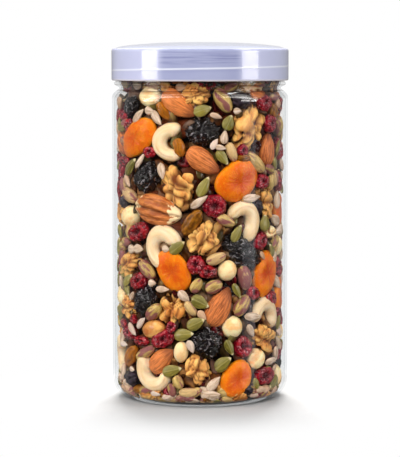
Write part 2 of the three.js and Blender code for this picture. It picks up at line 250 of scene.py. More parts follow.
# ---- meshes from arrays ----
def addPiece(name, points, faces, material, attributes=None):
    # Points in millimetres and triangles as whole arrays; the piece's object stays at the origin
    mesh = bpy.data.meshes.new(name)
    mesh.vertices.add(len(points))
    mesh.vertices.foreach_set("co", (points * mm).astype(np.float32).ravel())
    mesh.loops.add(faces.size)
    mesh.loops.foreach_set("vertex_index", faces.astype(np.int32).ravel())
    mesh.polygons.add(len(faces))
    mesh.polygons.foreach_set("loop_start", np.arange(0, faces.size, 3, dtype=np.int32))
    mesh.polygons.foreach_set("use_smooth", np.ones(len(faces), bool))
    for key, values in (attributes or {}).items():
        vector = values.ndim == 2
        layer = mesh.attributes.new(key, "FLOAT_VECTOR" if vector else "FLOAT", "POINT")
        layer.data.foreach_set("vector" if vector else "value", values.astype(np.float32).ravel())
    mesh.update(calc_edges=True)
    mesh.materials.append(material)
    piece = bpy.data.objects.new(name, mesh)
    bpy.context.collection.objects.link(piece)
    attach(piece, "root")
    return piece


def ringFaces(rings, around):
    # Triangles between closed rings of points, with a pole before the first ring and after the last
    here, beside = np.arange(around), (np.arange(around) + 1) % around
    row = np.arange(rings - 1)[:, None] * around + 1
    a, b = (row + here).ravel(), (row + beside).ravel()
    c, d = b + around, a + around
    last = 1 + (rings - 1) * around
    return np.concatenate([
        np.stack([a, b, c], 1), np.stack([a, c, d], 1),
        np.stack([0 * here, 1 + beside, 1 + here], 1),
        np.stack([0 * here + last + around, last + here, last + beside], 1),
    ])


def ballGrid(around, along):
    # A unit ball: x = cos v, y = sin v cos u, z = sin v sin u, with v along its length and u round it.
    # Returns the points, the triangles, and t = 1 - 2v/pi, which runs evenly from 1 to -1 along x.
    v = np.linspace(0, np.pi, along + 1)[1:-1, None]
    u = np.arange(around)[None, :] * 2 * np.pi / around
    rings = np.stack([np.cos(v) + 0 * u, np.sin(v) * np.cos(u), np.sin(v) * np.sin(u)], -1)
    points = np.concatenate([[[1.0, 0, 0]], rings.reshape(-1, 3), [[-1.0, 0, 0]]])
    even = np.concatenate([[1.0], np.repeat(1 - 2 * v.ravel() / np.pi, around), [-1.0]])
    return points, outward(points, ringFaces(along - 1, around)), even


def outward(points, faces):
    # Turns every triangle over where the volume they enclose comes out negative
    a, b, c = (points[faces[:, i]] for i in range(3))
    volume = np.einsum("ij,ij->", a, np.cross(b, c))
    return faces if volume > 0 else faces[:, ::-1]


def swirl(points, waves, luck):
    # Smooth noise, about -1 to 1: the mean of three sines whose phases are bent by other sines
    x, y, z = [points[..., i] * waves + 40 * luck * (i + 1) for i in range(3)]
    first = np.sin(x + 1.7 * np.sin(0.9 * y + 1.3 * np.sin(z)))
    second = np.sin(1.1 * y + 1.7 * np.sin(1.1 * z + 1.3 * np.sin(0.8 * x)))
    third = np.sin(0.9 * z + 1.7 * np.sin(0.8 * x + 1.3 * np.sin(1.2 * y)))
    return (first + second + third) / 3


def along(t, tip, butt):
    # A drop's half width along its length: s^tip (1 - s)^butt, scaled to a greatest width of 1
    s = np.clip((1 - t) / 2, 0, 1)
    widest = tip / (tip + butt)
    return s ** tip * (1 - s) ** butt / (widest ** tip * (1 - widest) ** butt)


def aroundUnit(ball):
    # The direction round the length, (cos u, sin u), with nothing at the two ends
    reach = np.maximum(np.hypot(ball[..., 1], ball[..., 2]), 1e-6)
    return ball[..., 1] / reach, ball[..., 2] / reach


def discOf(ball):
    # The ball with its poles facing the wall: distance from the middle, direction, and height
    return np.hypot(ball[..., 1], ball[..., 2]), ball[..., 1], ball[..., 2], ball[..., 0]


# ---- sizes of the jar and of the heap in it ----
jar = {
    "outside": 46, "wall": 1, "heel": 10, "restInner": 30, "restOuter": 36, "pushUp": 1.6,
    "shoulder": 157.5, "shoulderStep": 1.8, "groove": 42.2, "grooveHeight": 162.5,
    "bead": 45, "beadHeight": 165.1, "neck": 43.4, "neckTop": 181.9,
    "threadFrom": 169.9, "threadTo": 176.1, "around": 160,
    "heelInside": ((1.7, 39.6), (3.6, 42.4), (6.5, 44.3)),  # heights, and how far pieces reach there
    # painted dark lines, for the shade where the neck's rings bend what is behind them: height and half
    # width
    "lines": [(165.9, 0.22), (164.2, 0.2), (161.4, 0.25)], "lineDark": 0.42,
    "line": (0.42, 0.38, 0.36, 1), "clear": (0.99, 0.995, 0.995, 1), "edgeOn": (0.9, 0.91, 0.92, 1),
    "edgePower": 8,
    "rough": 0.05, "neckRough": 0.1, "bend": 1.45, "mostMirror": 0.08, "neckMirror": 1.2,
}
inside = jar["outside"] - jar["wall"]
heap = {
    "gap": 1.0, "top": 162, "topRadius": 36, "deepRadius": 35.6, "hiddenGrid": (12, 8),
    # the painted shade deeper in the heap: the colour it multiplies in, and its greatest share
    "gapTint": (0.1, 0.04, 0.025), "mostTint": 0.93,
    "largeSeed": 2024, "smallSeed": 77, "shapeSeed": 100,
    # the back has the front's rows turned over about this height, then moved, sized and turned by luck
    "back": 83, "backMoved": 3, "backSize": (0.94, 0.12), "backTurned": 30,
}


def foodFinish(its, ownMasks=None):
    # Painted shade: what lies deeper in the heap is darkened towards the brown dark of the gaps
    paint = Finish(its["finish"])
    unit = paint.own("unit", "Vector")
    masks = {"tip": paint.part(unit, "X"), "side": paint.part(unit, "Y")}
    masks.update({name: paint.own(name) for name in ("crease", "tint", "shade")})
    masks.update({name: paint.grain(*values) for name, values in its["grains"].items()})
    if ownMasks:
        masks.update(ownMasks(paint, **masks))
    colour = paint.coats(its["colour"], its["coats"], masks)
    rough = its["rough"]
    if "rougher" in its:
        name, more = its["rougher"]
        rough = rough + more * masks[name]
    relief, *height = its["bump"]
    return paint.end(paint.node("BsdfPrincipled", {}, {
        "Base Color": paint.mix(paint.own("depth"), colour, heap["gapTint"], "MULTIPLY"),
        "Roughness": rough, "Specular IOR Level": its.get("specular", 0.5),
        "Coat Weight": its.get("coat", 0.0), "Coat Roughness": 0.2,
        "Subsurface Weight": its.get("glow", 0.0), "Subsurface Scale": 2 * mm,
        "Subsurface Radius": its.get("glowColour", (1, 0.4, 0.15)),
        "Normal": paint.bump(masks[relief], *height),
    }))


# ---- the kinds ----
# Each kind's dictionary holds its thickness as a share of its width, its grids round and along, how
# far its pieces lean, its sizes in the layers, its rows, and its finish. A row is read off the
# front of the jar: angle from the front, height, length, width, and the turn that lifts the right end.
# The finish has grains, which are noises with so many waves to the metre, a base colour, and coats over
# it: a mask, a strength, a colour, and the mask's values where the coat begins and where it is full.
# A form fills a box from -1 to 1: x is length, y width, and +z faces the wall. It gets the ball's
# points, t, and each piece's luck, and returns its points and how creased it is.
apricot = {
    "thick": 0.4, "grid": (40, 26), "gridBehind": (20, 12), "lean": 6, "size": (23, 18),
    "large": [
        (-52, 137.5, 31, 17, 28), (28.5, 115.8, 29, 20.5, 15), (-20, 70, 24, 18, -40),
        (56, 67.5, 25, 20, 60), (27.5, 14.3, 22, 17, 35),
    ],
    "finish": "apricotFlesh", "rough": 0.36, "specular": 0.4,
    "glow": 0.3, "glowColour": (1, 0.35, 0.08),
    "grains": {"mottle": (900, 4, 0.65), "patch": (150, 3), "fold": (330, 3, 0.6, (0.35, 1, 1))},
    "colour": (231, 106, 6), "coats": [
        ("patch", 1, (239, 129, 8), 0.35, 0.7), ("heart", 1, (202, 63, 1)),
        ("crease", 0.5, (243, 150, 17), 0.82, 1.0), ("fold", 0.4, (244, 150, 20), 0.5, 0.72),
        ("mottle", 0.5, (244, 167, 41), 0.54, 0.68),
    ],
    "bump": ("relief", 0.7, 0.8),
}


def apricotForm(ball, t, luck):
    # A disc with a full rim: its height is |cos v|^0.75, less a shallow hollow in the middle
    reach, x, y, z = discOf(ball)
    rim = 1 + 0.07 * swirl(ball * [0, 1, 1], 2.2, luck[:, 0])
    hollow = 1 - (0.2 + 0.25 * luck[:, 2]) * np.exp(-(reach / 0.45) ** 2)
    uneven = 0.1 * swirl(ball, 2.6, luck[:, 1]) * (1 - reach ** 2)
    height = np.sign(z) * np.abs(z) ** 0.75 * hollow + uneven
    return np.stack([x * rim, y * rim, height], -1), reach + 0 * height


def apricotMasks(paint, crease, shade, patch, fold, mottle, **others):
    # Its crease is the distance from the middle, so the heart lies where that is small
    heart = (1 - paint.step(crease + 0.7 * patch, 0.45, 1.15)) * (0.35 + 0.65 * shade)
    return {"heart": heart, "relief": fold + 0.4 * mottle}


prune = {
    "thick": 0.62, "grid": (64, 44), "gridBehind": (20, 14), "lean": 6, "size": (19, 15),
    "large": [
        (2.5, 141, 20, 15, 0), (-44, 117.5, 20, 16, 40), (33, 79.5, 29, 17, -25),
        (-44.5, 54, 19, 15, 30), (5, 33.5, 20, 18, 0), (-60, 153.5, 15, 10, 20),
    ],
    "finish": "pruneSkin", "rough": 0.23, "specular": 0.8,
    "grains": {"fine": (260, 4, 0.55), "small": (600, 3, 0.6), "bloom": (150, 2)},
    "colour": (13, 8, 8), "coats": [
        # painted glints: pale flecks on the black skin for the highlights on its wrinkles
        ("bloom", 1, (27, 21, 25), 0.45, 0.75), ("vein", 0.75, (166, 158, 162)),
    ],
    "bump": ("relief", 1.0, 1.2),
}


def pruneForm(ball, t, luck):
    # A ball wrinkled at two scales by the root of |swirl|
    broad, fine = swirl(ball, 3, luck[:, 0]), swirl(ball, 9, luck[:, 1])
    reach = 0.68 + 0.29 * np.sqrt(np.abs(broad) + 0.01) + 0.22 * np.sqrt(np.abs(fine) + 0.01)
    crease = np.exp(-(broad / 0.12) ** 2) + 0.6 * np.exp(-(fine / 0.1) ** 2)
    return ball * reach[..., None], np.clip(crease, 0, 1)


def pruneMasks(paint, fine, small, **others):
    # A painted glint lies where the fine noise passes through its middle value: a pale fleck for a
    # highlight on the wrinkles
    fold = 2 * (fine - 0.5).size()
    vein = (1 - paint.step(fold, 0.01, 0.07)) * paint.step(small, 0.5, 0.58)
    return {"vein": vein, "relief": 0.15 * small - 1.2 * fold}


walnut = {
    "thick": 0.66, "grid": (58, 44), "gridBehind": (18, 13), "lean": 12,
    "size": (20, 17), "sizeNear": (12, 9), "sizeRim": (10, 7), "lobesRound": 12, "lobes": 26,
    "large": [
        (-4, 159.5, 17, 12, 10), (40, 143, 31, 24, 40), (-17, 113, 24, 23.5, 80), (4, 87, 20, 17, 50),
        (-64, 72.5, 22, 13, 20), (58, 103.5, 19, 18, 0), (-66, 49, 17, 14, 0), (-20, 50.5, 18, 17, 70),
        (-2.5, 19.5, 16, 17, 60), (56, 33, 22, 17, -20),
    ],
    "finish": "walnutMeat", "rough": 0.5, "glow": 0.1,
    "grains": {"patch": (260, 3), "fleck": (1800, 3, 0.6)},
    "colour": (221, 136, 57), "coats": [
        ("patch", 1, (255, 196, 108), 0.38, 0.64), ("tint", 0.4, (255, 210, 129)),
        # the creases darker: partly the skin's own deeper brown there, partly painted shade in them
        ("crease", 0.95, (112, 50, 17)), ("fleck", 0.4, (169, 92, 35), 0.55, 0.75),
    ],
    "bump": ("fleck", 0.35, 0.8),
}


def walnutForm(ball, t, luck):
    # Balls set in a ring and over the face. Along each direction d the surface is the furthest ball's:
    # reach = c.d + sqrt(r^2 - |c|^2 + (c.d)^2). A crease lies where two balls reach equally far. The
    # directions are bent by swirls first, so that the lobes come out long and curled.
    def wander(i, k):
        return np.sin(12.9 * (i + 1) * (k + 1) + 300 * luck[:, k])

    bent = ball + 0.34 * np.stack([swirl(ball, 2.6, luck[:, k]) for k in range(3)], -1)
    bent = bent / np.linalg.norm(bent, axis=-1, keepdims=True)
    inRing, whole = walnut["lobesRound"], walnut["lobes"]
    furthest = 0.46 + 0 * bent[..., 0]
    second = furthest
    for i in range(whole):
        if i < inRing:
            turn = 2 * np.pi * i / inRing + 0.25 * wander(i, 0)
            reach = 0.68 + 0.1 * wander(i, 1)
            height = 0.1 + 0.15 * wander(i, 2)
        else:
            turn = 2.4 * i + 0.3 * wander(i, 0)
            reach = 0.58 * np.sqrt((i - inRing + 0.5) / (whole - inRing)) + 0.05 * wander(i, 1)
            height = 0.52 + 0.1 * wander(i, 2)
        centre = np.concatenate([reach * np.cos(turn), reach * np.sin(turn), height], -1)
        radius = 0.235 + 0.06 * wander(i, 3)
        facing = np.sum(centre[:, None] * bent, -1)
        root = radius ** 2 - np.sum(centre ** 2, -1)[:, None] + facing ** 2
        grown = np.where(root > 0, facing + np.sqrt(np.maximum(root, 0)), 0)
        second = np.maximum(second, np.minimum(furthest, grown))
        furthest = np.maximum(furthest, grown)
    crease = np.exp(-((furthest - second) / 0.06) ** 2)
    off = ball[..., 1] + 0.1 * swirl(ball, 2, luck[:, 4])
    groove = np.exp(-(off / 0.12) ** 2) * (ball[..., 2] > 0)
    reach = furthest + 0.03 * swirl(ball, 10, luck[:, 1]) - 0.05 * crease - 0.22 * groove
    return 1.12 * ball * reach[..., None], np.clip(crease + 0.8 * groove, 0, 1)


pecan = {
    "thick": 0.6, "grid": (72, 48), "gridBehind": (32, 20), "lean": 4,
    "large": [(-35, 101, 35, 16, -8)],
    "finish": "pecanMeat", "rough": 0.45, "glow": 0.05,
    "grains": {"streak": (700, 4, 0.6, (0.3, 1, 1)), "patch": (260, 3, 0.6)},
    "colour": (165, 83, 34), "coats": [
        # the grooves darker: partly the skin's own deeper brown, partly painted shade in them
        ("streak", 1, (220, 135, 70), 0.35, 0.65), ("crease", 0.8, (107, 50, 20)),
        ("chipped", 1, (252, 224, 178), 1.24, 1.34),
    ],
    "bump": ("streak", 0.4, 0.8),
}


def pecanForm(ball, t, luck):
    # A long oval; its face has a deep groove at y = 0 and shallower ones at either side
    across, up = aroundUnit(ball)
    width = along(t, 0.62, 0.56)
    y = width * across
    wave = 0.12 * swirl(ball, 3.6, luck[:, 0])
    middle = np.exp(-((y + wave) / 0.09) ** 2)
    side = np.exp(-((np.abs(y + 2 * wave) - 0.52) / 0.09) ** 2)
    face = np.clip(up, 0, 1)
    z = width * up * (1 - face * (0.42 * middle + 0.3 * side))
    z = z + 0.11 * face * swirl(ball, 8, luck[:, 1])
    return np.stack([t + 0 * z, y + 0 * z, z], -1), face * np.maximum(middle, 0.7 * side)


def pecanMasks(paint, tip, patch, **others):
    # Its skin is chipped off towards the two ends
    return {"chipped": tip.size() + 0.9 * patch}


cashew = {
    "thick": 0.36, "thickOf": 2,  # a share of its length; its turn is 0 where it opens downwards
    "grid": (28, 44), "gridBehind": (14, 22), "lean": 5, "size": (22, 19),
    "large": [
        (-24, 135.5, 20, 19, 90), (-30, 83.5, 23, 20, 51), (35, 96.5, 22.5, 19, -50),
        (-37, 15.5, 24, 16, 154), (56, 47, 23, 17, -15),
    ],
    "finish": "cashewMeat", "rough": 0.4, "glow": 0.25, "glowColour": (1, 0.6, 0.3),
    "grains": {"patch": (160, 2), "streak": (500, 3, 0.5, (0.3, 1, 1))},
    "colour": (248, 224, 189), "coats": [
        ("patch", 1, (238, 203, 155), 0.35, 0.7), ("tint", 0.3, (246, 211, 159)),
        ("crease", 0.5, (196, 145, 88)),
    ],
    "bump": ("streak", 0.2, 0.5),
}


def cashewForm(ball, t, luck):
    # A tube of radius 0.35 round an arc of radius 0.65 that opens downwards, rounded from |t| = 0.75
    across, up = aroundUnit(ball)
    sweep = (2.0 + 0.25 * luck[:, 2]) * t
    cap = np.clip((np.abs(t) - 0.75) / 0.25, 0, 1)
    tube = 0.35 * np.sqrt(1 - cap ** 2) * (1 + 0.15 * t)
    tube = tube * (1 + 0.05 * swirl(ball, 1.6, luck[:, 0]))
    out = 0.65 + tube * across
    x, y = out * np.sin(sweep), (out * np.cos(sweep) - 0.27) / 0.73
    seam = np.exp(-((across - 0.3 - 0.1 * np.sin(3 * t)) / 0.05) ** 2) * (up > 0) * (np.abs(t) < 0.8)
    return np.stack([x, y, tube * up / 0.35], -1), seam


almond = {
    "thick": 0.62, "pointed": 0.72, "blunt": 0.46, "ridges": 0.05,
    "grid": (48, 30), "gridBehind": (20, 12), "lean": 8, "size": (22, 12),
    "large": [
        (-15.5, 155, 23, 12, -30), (2.5, 126, 22, 12, -30), (14.5, 52, 23, 14, 58),
        (-29, 23.8, 19, 11.5, 37), (60, 131.5, 18, 13, 75), (46, 160.5, 12, 7, 0),
    ],
    "finish": "almondSkin", "rough": 0.44, "rougher": ("speck", 0.15),
    "grains": {"streak": (1250, 4, 0.6, (0.14, 1, 1)), "speck": (2600, 2)},
    "colour": (132, 57, 31), "coats": [
        ("streak", 1, (226, 129, 69), 0.34, 0.62), ("speck", 0.35, (255, 180, 104), 0.5, 0.75),
        ("tint", 0.35, (241, 142, 63)), ("tip", 0.55, (109, 53, 41), 0.45, 1.0),
    ],
    "bump": ("streak", 0.5, 0.9),
}


def dropForm(its):
    # x = t; (y, z) = width(t) (cos u, sin u), less shallow furrows that run lengthwise
    def form(ball, t, luck):
        across, up = aroundUnit(ball)
        waves = 9 * np.arctan2(up, across) + 2.4 * swirl(ball, 2, luck[:, 0]) + 6 * luck[:, 1]
        furrow = (0.5 + 0.5 * np.sin(waves)) ** 3
        width = along(t, its["pointed"], its["blunt"]) * (1 - its.get("ridges", 0.0) * furrow)
        bend = 0.1 * (luck[:, 2] - 0.5) * (1 - t ** 2)
        return np.stack([t + 0 * width, width * across + bend, width * up], -1), furrow
    return form


hazelnut = {
    "thick": 0.92, "grid": (36, 26), "gridBehind": (16, 12), "lean": 20, "size": (13, 11),
    "large": [
        (-40, 158.5, 15, 11, 0), (-64, 96.5, 15, 11.5, 5), (25, 41, 14, 12, 0),
        (20.7, 70.5, 12, 11, 20), (46, 23.5, 13, 11, 10), (-14, 28.5, 12, 8.5, 80),
        (62.5, 88.5, 11, 7, 0),
    ],
    "finish": "hazelnutMeat", "rough": 0.38, "glow": 0.2, "glowColour": (1, 0.6, 0.3),
    "grains": {"patch": (240, 3)},
    "colour": (255, 238, 187), "coats": [
        ("patch", 1, (255, 198, 130), 0.4, 0.68), ("tint", 0.35, (255, 206, 149)),
        ("crease", 0.9, (209, 117, 51)),
    ],
    "bump": ("patch", 0.3, 0.5),
}


def lobedForm(ball, t, luck):
    # A near round kernel; where its luck is high, a furrow parts it into lobes
    cut = swirl(ball, 1.7, luck[:, 0])
    depth = 0.3 * np.clip(3 * luck[:, 2] - 1.6, 0, 1)
    furrow = np.exp(-(cut / 0.12) ** 2)
    reach = 1 + 0.03 * swirl(ball, 1.2, luck[:, 1]) - depth * furrow + 0.5 * depth * np.abs(cut)
    return ball * reach[..., None], furrow * depth / 0.3


peanut = {
    "thick": 0.85, "grid": (32, 24), "gridBehind": (16, 12), "lean": 8,
    "large": [(-36.5, 39.5, 16.5, 9.5, 10)],
    "finish": "peanutSkin", "rough": 0.3, "glow": 0.05, "coat": 0.4,
    "grains": {"patch": (200, 3), "streak": (900, 2, 0.5, (0.3, 1, 1))},
    "colour": (190, 112, 55), "coats": [
        # painted shade in the furrow between the lobes
        ("patch", 1, (240, 182, 101), 0.36, 0.64), ("crease", 0.7, (121, 60, 31)),
    ],
    "bump": ("streak", 0.2, 0.6),
}


cranberry = {
    "thick": 0.66, "grid": (34, 24), "gridBehind": (16, 11), "lean": 14,
    "size": (13, 10), "sizeNear": (10, 7), "sizeRim": (8, 6),
    "large": [
        (53, 155.5, 14, 9, 0), (62, 144.5, 11, 10, 0), (-60, 143.5, 10, 7, 0), (51, 115, 12, 8, 10),
        (11, 103.3, 14.5, 12.5, 0), (-51, 89, 15, 10, 15), (49.5, 84.5, 14, 9, 20),
        (-3, 73.5, 11, 10, 0), (5.5, 70, 10.5, 7, 0), (-50.5, 63.7, 14, 9.5, 10), (63, 54, 14, 8, 0),
        (-63, 36, 15, 8, 0), (-27.5, 35, 14, 9, 20), (33, 30.8, 12, 12, 0), (54.5, 14.1, 16, 10, 0),
    ],
    "small": [
        (-70, 148.5, 10, 5, 0), (31.5, 131.5, 7, 7, 0), (-38, 130.5, 9, 6, 0), (41.5, 58, 9, 7, 0),
        (-54.5, 43.8, 8, 5, 0), (-46, 33, 12, 5, 0), (-20.5, 41.5, 6, 6, 0), (-69, 125, 12, 5, 0),
    ],
    "finish": "cranberryFlesh", "rough": 0.18, "rougher": ("fine", 0.2), "specular": 0.6,
    "glow": 0.05, "glowColour": (1, 0.1, 0.08),
    "grains": {"fine": (520, 3, 0.6), "glint": (1300, 2, 0.6)},
    "colour": (74, 2, 8), "coats": [
        ("fine", 1, (186, 12, 28), 0.35, 0.68), ("tint", 0.45, (136, 16, 46)),
        # painted shade in the hollow and the wrinkles
        ("crease", 0.9, (38, 1, 4)), ("glint", 0.8, (246, 170, 178), 0.62, 0.68),
    ],
    "bump": ("fine", 0.6, 0.9),
}


def cranberryForm(ball, t, luck):
    # A ring: a flat ball with its middle pressed in on both sides, wrinkled across the rim
    reach, x, y, z = discOf(ball)
    wrinkle = swirl(ball, 3.6, luck[:, 0])
    rim = 0.86 + 0.2 * np.sqrt(np.abs(wrinkle) + 0.01) + 0.07 * swirl(ball, 1.4, luck[:, 1])
    hollow = np.exp(-(reach / (0.26 + 0.14 * luck[:, 2])) ** 2)
    height = z * (1 - 0.85 * hollow) * (0.85 + 0.3 * np.sqrt(np.abs(wrinkle) + 0.01))
    crease = hollow + 0.5 * np.exp(-(wrinkle / 0.1) ** 2)
    return np.stack([x * rim, y * rim, height], -1), np.clip(crease, 0, 1)


raisin = {
    "thick": 0.8, "grid": (44, 26), "gridBehind": (16, 10), "lean": 10,
    "size": (14, 9), "sizeNear": (10, 6), "sizeRim": (10, 5),
    "large": [
        (-14.8, 133, 10, 7, -70), (-6, 95, 17, 9, 50), (-61.5, 23.5, 20, 9, 35),
        (68, 149.5, 12, 9, -50),
    ],
    "small": [(32, 127.5, 8, 4, 0), (-26.5, 151.5, 11, 6, -50)],
    "finish": "raisinSkin", "rough": 0.36, "glow": 0.2, "glowColour": (1, 0.6, 0.15),
    "grains": {"fine": (420, 3)},
    "colour": (106, 61, 7), "coats": [
        ("fine", 1, (166, 105, 20), 0.36, 0.66), ("shade", 0.6, (196, 114, 22), 0.5, 0.8),
        # painted shade in the grooves between the ridges
        ("crease", 0.5, (79, 42, 5)),
    ],
    "bump": ("fine", 0.4, 0.8),
}


def wrinkledForm(ball, t, luck):
    # A long berry with ridges lengthwise: radius 0.74 + 0.26 root |sin(3.5 u + swirl)|
    across, up = aroundUnit(ball)
    angle = np.arctan2(up, across)
    ridge = np.abs(np.sin(3.5 * angle + 2.5 * swirl(ball, 1.8, luck[:, 0]) + 6 * luck[:, 1]))
    width = along(t, 0.5, 0.42) * (0.74 + 0.26 * np.sqrt(ridge))
    return np.stack([t + 0 * width, width * across, width * up], -1), 1 - ridge


blueberry = {
    "thick": 0.85, "grid": (32, 22), "gridBehind": (16, 12), "lean": 20,
    "large": [(46, 102, 9, 9, 0), (-60, 12.5, 14, 9, 0), (31, 156.5, 12, 8, 0)],
    "small": [(-74, 103.5, 7, 7, 0), (36, 8, 6, 5, 0)],
    "finish": "blueberrySkin", "rough": 0.35, "grains": {"fine": (600, 3)},
    "colour": (25, 17, 23), "coats": [("fine", 1, (66, 53, 66), 0.4, 0.7)],
    "bump": ("fine", 0.5, 0.8),
}


pistachio = {
    "thick": 0.85, "pointed": 0.5, "blunt": 0.42, "grid": (18, 12), "gridBehind": (10, 7), "lean": 10,
    "size": (13, 8), "sizeNear": (11, 7), "sizeRim": (10, 5.5),
    "small": [
        (16.8, 156.7, 15, 8.5, -52), (23, 130.7, 11, 6, -65), (44, 125, 16, 7.5, -38),
        (59.5, 121, 10, 5, -15), (-62, 107.5, 14, 7, -20), (-41.5, 70, 14, 7, -36),
        (18.5, 96, 11.5, 6, -25), (11.5, 76.8, 12, 6, 18), (34.3, 66, 14, 8.5, -70),
        (9.8, 62.3, 10.5, 7, 20), (-2.5, 63, 9, 6, 50), (32.3, 52.1, 14, 8, 42),
        (-35.5, 48.5, 13, 7.5, 35), (-6.5, 51.3, 9.5, 5.5, -50), (-42.5, 27, 14.5, 6, 28),
        (-15.5, 13.3, 8, 6, -60), (-20, 9, 7.5, 4.5, -75), (-8.3, 8.2, 11.5, 5, 5), (-67, 83, 11, 5, 0),
        (66, 158, 8, 4, 0), (-65, 144.5, 11, 5, 0),
    ],
    "finish": "pistachioMeat", "rough": 0.45, "glow": 0.08,
    "grains": {"patch": (300, 3, 0.6, (0.35, 1, 1)), "streak": (700, 3, 0.6, (0.25, 1, 1))},
    "colour": (155, 129, 57), "coats": [
        ("streak", 1, (212, 180, 106), 0.35, 0.65), ("tint", 0.5, (228, 186, 150)),
        ("skin", 0.85, (129, 57, 77), 0.56, 0.66),
    ],
    "bump": ("streak", 0.3, 0.7),
}


def pistachioMasks(paint, patch, shade, **others):
    # Patches of its purple skin, more on some kernels
    return {"skin": patch + 0.2 * shade}


pumpkinSeed = {
    "thick": 0.4, "pointed": 0.9, "blunt": 0.55, "grid": (16, 12), "gridBehind": (10, 7), "lean": 16,
    "size": (12, 7), "sizeNear": (11, 6), "sizeRim": (10, 5),
    "small": [
        (2, 152, 11, 6, 20), (20, 145.8, 9, 6.5, 60), (15.5, 128, 9.5, 5.5, -50),
        (2.5, 113.5, 12, 6, 60), (-57.5, 122.5, 14, 6, 40), (-15.7, 82.5, 10, 6, 35),
        (52.3, 93.8, 9.5, 7, 80), (26.3, 89.3, 10.5, 6, 60), (26, 60, 9, 4, -60), (0, 54.5, 11, 7, -25),
        (-3, 43.7, 11, 6.5, 25), (-11.5, 37.9, 12, 6.5, 5), (20.7, 31, 9, 5, -65),
        (16.2, 22.8, 11, 7, 35), (-19.7, 19.3, 11.5, 6, 15), (42.5, 11, 7, 4, -65),
        (-63, 58.5, 8.5, 4.5, -45),
    ],
    "finish": "pumpkinSkin", "rough": 0.32, "glow": 0.05,
    "grains": {"streak": (800, 3, 0.6, (0.2, 1, 1))},
    "colour": (70, 66, 20), "coats": [
        ("streak", 1, (128, 116, 44), 0.35, 0.65), ("tint", 0.5, (164, 148, 70)),
        # painted shading: one side of each seed lighter, as if lit from there, and a painted sheen
        # along the middle ridge
        ("side", 0.4, (156, 146, 96), -0.1, 0.5), ("midline", 0.35, (188, 180, 124)),
        ("edge", 0.55, (200, 186, 108), 0.82, 0.98), ("tip", 0.85, (228, 212, 164), 0.86, 0.97),
    ],
    "bump": ("streak", 0.25, 0.7),
}


def pumpkinSeedMasks(paint, side, **others):
    # The rim is where |side| is large; the ridge sheen, a painted highlight, runs along the middle
    return {"edge": side.size(), "midline": 1 - paint.step(side.size(), 0.0, 0.14)}


sunflowerSeed = {
    "thick": 0.55, "pointed": 0.95, "blunt": 0.6, "grid": (12, 10), "gridBehind": (8, 6), "lean": 16,
    "size": (11, 5), "sizeNear": (10, 4.5), "sizeRim": (10, 4.5),
    "small": [
        (-48.5, 148.8, 12, 4.5, 36), (-31.5, 148, 10, 5, -47), (-37.5, 151.5, 7, 4.5, 0),
        (11, 149, 8, 3, -20), (26.5, 151.5, 5, 3.5, 0), (17, 138.5, 7.5, 4.5, 80),
        (9.8, 135, 7, 3.5, 55), (14, 133.1, 6.5, 3, -10), (-46, 126, 11.5, 4, 45),
        (-61.5, 115, 9, 4.5, -45), (-27.2, 121, 9, 4.5, -75), (-0.5, 105.8, 11.5, 4.5, 32),
        (38.5, 107.1, 12, 4.5, 5), (48.5, 77, 6, 3, -50), (-56, 80, 8, 5, 0), (-48, 80.5, 7, 5, 0),
        (-24, 81.5, 5, 4, 0), (-26.8, 60.8, 9.5, 3.5, 0), (-11, 57.5, 8.5, 5, -45),
        (-35, 63.7, 5, 4, 0), (-54.5, 56, 6, 3, 50), (1.5, 48, 6.5, 4, -45), (-45.5, 42.5, 10, 4, 38),
        (-56, 38.2, 12, 4.5, -25), (40, 46, 12.5, 4.5, -5), (37.8, 38.9, 9, 4, -52),
        (-6.5, 31.8, 7.5, 4.5, -65), (-68, 29.5, 9, 3, 0), (60, 21.5, 11, 4, 8), (66, 17.5, 8, 3, 0),
        (9.3, 12.7, 10.5, 5, 45), (7, 7.1, 12, 5, 0), (48, 7.7, 9, 4, 0), (-32.5, 6.5, 8, 2.5, 0),
        (-55.5, 17.5, 6, 3, 0),
    ],
    "finish": "sunflowerSkin", "rough": 0.5, "glow": 0.05,
    "grains": {"streak": (700, 3, 0.6, (0.25, 1, 1))},
    "colour": (184, 154, 127), "coats": [
        ("streak", 1, (231, 208, 187), 0.35, 0.68), ("tint", 0.6, (202, 152, 112), 0.6, 0.9),
        ("shade", 0.5, (235, 219, 212), 0.8, 0.95),
    ],
    "bump": ("streak", 0.2, 0.6),
}


# Each kind's dictionary, its form, and its own masks; the seeded draws follow this order
kinds = {
    "apricot": (apricot, apricotForm, apricotMasks), "prune": (prune, pruneForm, pruneMasks),
    "walnut": (walnut, walnutForm), "pecan": (pecan, pecanForm, pecanMasks),
    "cashew": (cashew, cashewForm), "almond": (almond, dropForm(almond)),
    "hazelnut": (hazelnut, lobedForm), "peanut": (peanut, lobedForm),
    "cranberry": (cranberry, cranberryForm), "raisin": (raisin, wrinkledForm),
    "blueberry": (blueberry, pruneForm), "pistachio": (pistachio, dropForm(pistachio), pistachioMasks),
    "pumpkinSeed": (pumpkinSeed, dropForm(pumpkinSeed), pumpkinSeedMasks),
    "sunflowerSeed": (sunflowerSeed, dropForm(sunflowerSeed)),
}


